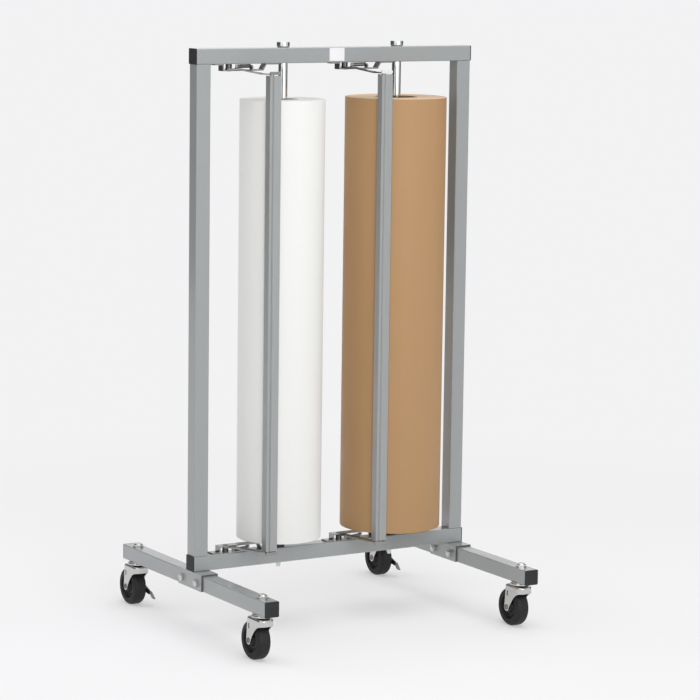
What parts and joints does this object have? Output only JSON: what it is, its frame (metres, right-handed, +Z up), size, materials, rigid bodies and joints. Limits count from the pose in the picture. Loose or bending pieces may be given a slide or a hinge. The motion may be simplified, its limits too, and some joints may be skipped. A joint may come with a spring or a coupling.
{
  "type": "paper roll rack",
  "caption": "Castered steel rack that stands two wide paper rolls upright on lift-out rods, each with a sprung cutter bar that swings away from its roll",
  "frame": {"origin": "on the floor, under the middle of the whole rack", "axes": "+X along the rails to the right, seen from the cutter bars' side; +Y to the back; +Z up"},
  "size_m": [0.6771, 0.6508, 1.2174],
  "materials": {
    "grey_paint": "satin silver-grey",
    "black_cap": "moulded",
    "bar_metal": "satin",
    "plated_steel": "zinc plated",
    "zinc_fastener": "zinc plated",
    "caster_plate": "bright zinc",
    "wheel_rubber": "matt",
    "rod_steel": "satin",
    "white_paper": "matt",
    "kraft_paper": "matt",
    "core_board": "matt",
    "seat_plastic": "moulded"
  },
  "bodies": {
    "rack": {"bottom_rail": "grey_paint", "caster_stem_nuts": "zinc_fastener", "foot_end_caps": "black_cap", "front_left_caster_stem": "zinc_fastener", "front_right_caster_stem": "zinc_fastener", "left_foot": "grey_paint", "left_lower_bracket": "plated_steel", "left_saddle": "grey_paint", "left_springs": "plated_steel", "left_upper_bracket": "plated_steel", "left_upright": "grey_paint", "pivot_studs": "plated_steel", "rail_end_caps": "black_cap", "rear_left_caster_stem": "zinc_fastener", "rear_right_caster_stem": "zinc_fastener", "right_foot": "grey_paint", "right_lower_bracket": "plated_steel", "right_saddle": "grey_paint", "right_springs": "plated_steel", "right_upper_bracket": "plated_steel", "right_upright": "grey_paint", "saddle_bolts": "zinc_fastener", "saddle_nuts": "zinc_fastener", "top_rail": "grey_paint"},
    "left_cutter": {"left_upper_arm": "plated_steel", "left_lower_arm": "plated_steel", "left_spring_posts": "plated_steel", "left_tip_screws": "plated_steel"},
    "left_bar": {"left_cutter_bar": "bar_metal"},
    "left_roll": {"left_paper_roll": "white_paper", "left_roll_core": "core_board", "left_roll_seat": "seat_plastic"},
    "left_rod": {"left_roll_rod": "rod_steel", "left_rod_collar": "rod_steel"},
    "right_cutter": {"right_upper_arm": "plated_steel", "right_lower_arm": "plated_steel", "right_spring_posts": "plated_steel", "right_tip_screws": "plated_steel"},
    "right_bar": {"right_cutter_bar": "bar_metal"},
    "right_roll": {"right_paper_roll": "kraft_paper", "right_roll_core": "core_board", "right_roll_seat": "seat_plastic"},
    "right_rod": {"right_roll_rod": "rod_steel", "right_rod_collar": "rod_steel"},
    "front_left_caster": {"front_left_caster_fork": "caster_plate", "front_left_caster_axle": "caster_plate"},
    "front_left_wheel": {"front_left_caster_wheel": "wheel_rubber"},
    "front_right_caster": {"front_right_caster_fork": "caster_plate", "front_right_caster_axle": "caster_plate"},
    "front_right_wheel": {"front_right_caster_wheel": "wheel_rubber"},
    "rear_left_caster": {"rear_left_caster_fork": "caster_plate", "rear_left_caster_axle": "caster_plate"},
    "rear_left_wheel": {"rear_left_caster_wheel": "wheel_rubber"},
    "rear_right_caster": {"rear_right_caster_fork": "caster_plate", "rear_right_caster_axle": "caster_plate"},
    "rear_right_wheel": {"rear_right_caster_wheel": "wheel_rubber"},
    "rear_left_brake": {"rear_left_brake_lever": "caster_plate"},
    "rear_right_brake": {"rear_right_brake_lever": "caster_plate"}
  },
  "joints": [
    {"name": "left_cutter_swing", "type": "hinge", "parent": "rack", "child": "left_cutter", "pos_m": [-0.2465, -0.01263, 0.6695], "axis": [0, 0, -1], "range_deg": [0, 60], "stiffness_Nm_per_rad": 0.4, "springref_deg": -31.51, "deforming": ["left_springs"]},
    {"name": "left_bar_turn", "type": "hinge", "parent": "left_cutter", "child": "left_bar", "pos_m": [-0.18416, -0.08123, 0.662], "axis": [0, 0, -1], "range_deg": [0, 12]},
    {"name": "left_roll_spin", "type": "hinge", "parent": "rack", "child": "left_roll", "pos_m": [-0.12, -0.01263, 0.6436], "axis": [0, 0, 1], "continuous": true},
    {"name": "left_rod_lift", "type": "slide", "parent": "rack", "child": "left_rod", "axis": [0, 0, 1], "range_m": [0, 0.98]},
    {"name": "right_cutter_swing", "type": "hinge", "parent": "rack", "child": "right_cutter", "pos_m": [0.027, -0.01263, 0.6695], "axis": [0, 0, -1], "range_deg": [0, 48], "stiffness_Nm_per_rad": 0.4, "springref_deg": -31.51, "deforming": ["right_springs"]},
    {"name": "right_bar_turn", "type": "hinge", "parent": "right_cutter", "child": "right_bar", "pos_m": [0.07363, -0.09274, 0.662], "axis": [0, 0, -1], "range_deg": [0, 12]},
    {"name": "right_roll_spin", "type": "hinge", "parent": "rack", "child": "right_roll", "pos_m": [0.1535, -0.01263, 0.6436], "axis": [0, 0, 1], "continuous": true},
    {"name": "right_rod_lift", "type": "slide", "parent": "rack", "child": "right_rod", "axis": [0, 0, 1], "range_m": [0, 0.98]},
    {"name": "front_left_swivel", "type": "hinge", "parent": "rack", "child": "front_left_caster", "pos_m": [-0.31033, -0.28563, 0.091], "axis": [0, 0, 1], "continuous": true},
    {"name": "front_left_wheel_spin", "type": "hinge", "parent": "front_left_caster", "child": "front_left_wheel", "pos_m": [-0.31033, -0.26062, 0.04], "axis": [1, 0, 0], "continuous": true},
    {"name": "front_right_swivel", "type": "hinge", "parent": "rack", "child": "front_right_caster", "pos_m": [0.31033, -0.28563, 0.091], "axis": [0, 0, 1], "continuous": true},
    {"name": "front_right_wheel_spin", "type": "hinge", "parent": "front_right_caster", "child": "front_right_wheel", "pos_m": [0.31033, -0.26062, 0.04], "axis": [1, 0, 0], "continuous": true},
    {"name": "rear_left_swivel", "type": "hinge", "parent": "rack", "child": "rear_left_caster", "pos_m": [-0.31033, 0.26038, 0.091], "axis": [0, 0, 1], "continuous": true},
    {"name": "rear_left_wheel_spin", "type": "hinge", "parent": "rear_left_caster", "child": "rear_left_wheel", "pos_m": [-0.31033, 0.28537, 0.04], "axis": [1, 0, 0], "continuous": true},
    {"name": "rear_right_swivel", "type": "hinge", "parent": "rack", "child": "rear_right_caster", "pos_m": [0.31033, 0.26038, 0.091], "axis": [0, 0, 1], "continuous": true},
    {"name": "rear_right_wheel_spin", "type": "hinge", "parent": "rear_right_caster", "child": "rear_right_wheel", "pos_m": [0.31033, 0.28537, 0.04], "axis": [1, 0, 0], "continuous": true},
    {"name": "rear_left_brake_lift", "type": "hinge", "parent": "rear_left_caster", "child": "rear_left_brake", "pos_m": [-0.29083, 0.28537, 0.04], "axis": [-1, 0, 0], "range_deg": [0, 30]},
    {"name": "rear_right_brake_lift", "type": "hinge", "parent": "rear_right_caster", "child": "rear_right_brake", "pos_m": [0.32982, 0.28537, 0.04], "axis": [-1, 0, 0], "range_deg": [0, 30]}
  ]
}
